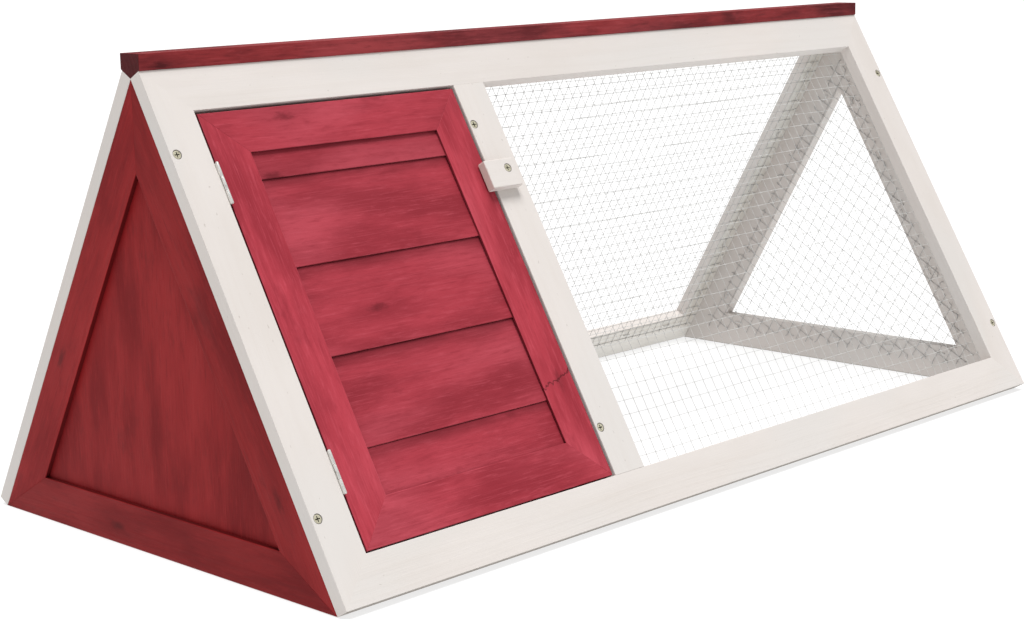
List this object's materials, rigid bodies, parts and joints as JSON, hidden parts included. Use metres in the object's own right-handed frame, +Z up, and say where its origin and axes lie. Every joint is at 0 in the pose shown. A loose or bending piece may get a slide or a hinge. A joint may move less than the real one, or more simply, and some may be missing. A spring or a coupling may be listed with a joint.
{
  "type": "rabbit hutch",
  "caption": "A-frame rabbit hutch: a closed house bay with a hinged plank door and turn button, beside an open-bottomed run closed with square-meshed wire netting.",
  "frame": {"origin": "on the ground, under the middle of the hutch", "axes": "+X along the ridge from the closed house towards the run, -Y out of the front panel that has the door, +Z up"},
  "size_m": [0.98, 0.4786, 0.415],
  "materials": {
    "white_paint": "matt white paint on softwood",
    "red_stain_door": "raspberry red stain on softwood",
    "red_stain_gable": "dark red stain on softwood and plywood",
    "red_stain_ridge": "dark red stain on softwood",
    "galvanised_wire": "galvanised wire",
    "zinc_plated_steel": "bright zinc plating",
    "screw_zinc": "yellowish zinc plating"
  },
  "bodies": {
    "frame": {"back_bottom_rail": "white_paint", "back_house_panel": "red_stain_gable", "back_left_stile": "white_paint", "back_mid_stile": "white_paint", "back_netting": "galvanised_wire", "back_netting_staples": "galvanised_wire", "back_panel_screws": "screw_zinc", "back_right_stile": "white_paint", "back_top_rail": "white_paint", "door_stop": "white_paint", "front_bottom_rail": "white_paint", "front_left_stile": "white_paint", "front_mid_stile": "white_paint", "front_netting": "galvanised_wire", "front_netting_staples": "galvanised_wire", "front_panel_screws": "screw_zinc", "front_right_stile": "white_paint", "front_top_rail": "white_paint", "hinge_stile_screws": "screw_zinc", "left_gable_back_rafter": "red_stain_gable", "left_gable_bottom_board": "red_stain_gable", "left_gable_front_rafter": "red_stain_gable", "left_gable_panel": "red_stain_gable", "lower_hinge_pin": "zinc_plated_steel", "lower_hinge_stile_leaf": "zinc_plated_steel", "partition_back_rafter": "red_stain_gable", "partition_bottom_board": "red_stain_gable", "partition_front_rafter": "red_stain_gable", "partition_panel": "red_stain_gable", "ridge_cap": "red_stain_ridge", "ridge_screws": "screw_zinc", "right_gable_back_rafter": "white_paint", "right_gable_bottom_board": "white_paint", "right_gable_front_rafter": "white_paint", "right_gable_netting": "galvanised_wire", "right_gable_netting_staples": "galvanised_wire", "turn_button_screw": "screw_zinc", "upper_hinge_pin": "zinc_plated_steel", "upper_hinge_stile_leaf": "zinc_plated_steel"},
    "door": {"door_bottom_rail": "red_stain_door", "door_left_stile": "red_stain_door", "door_plank_1": "red_stain_door", "door_plank_2": "red_stain_door", "door_plank_3": "red_stain_door", "door_plank_4": "red_stain_door", "door_plank_5": "red_stain_door", "door_right_stile": "red_stain_door", "door_top_rail": "red_stain_door", "lower_hinge_door_leaf": "zinc_plated_steel", "upper_hinge_door_leaf": "zinc_plated_steel", "hinge_door_screws": "screw_zinc"},
    "turn_button": {"turn_button": "white_paint"}
  },
  "joints": [
    {"name": "door_hinge", "type": "hinge", "parent": "frame", "child": "door", "pos_m": [-0.4508, -0.12651, 0.20468], "axis": [0, -0.5, -0.866], "range_deg": [0, 180]},
    {"name": "turn_button_pivot", "type": "hinge", "parent": "frame", "child": "turn_button", "pos_m": [-0.1485, -0.07883, 0.29377], "axis": [0, -0.866, 0.5], "continuous": true}
  ]
}
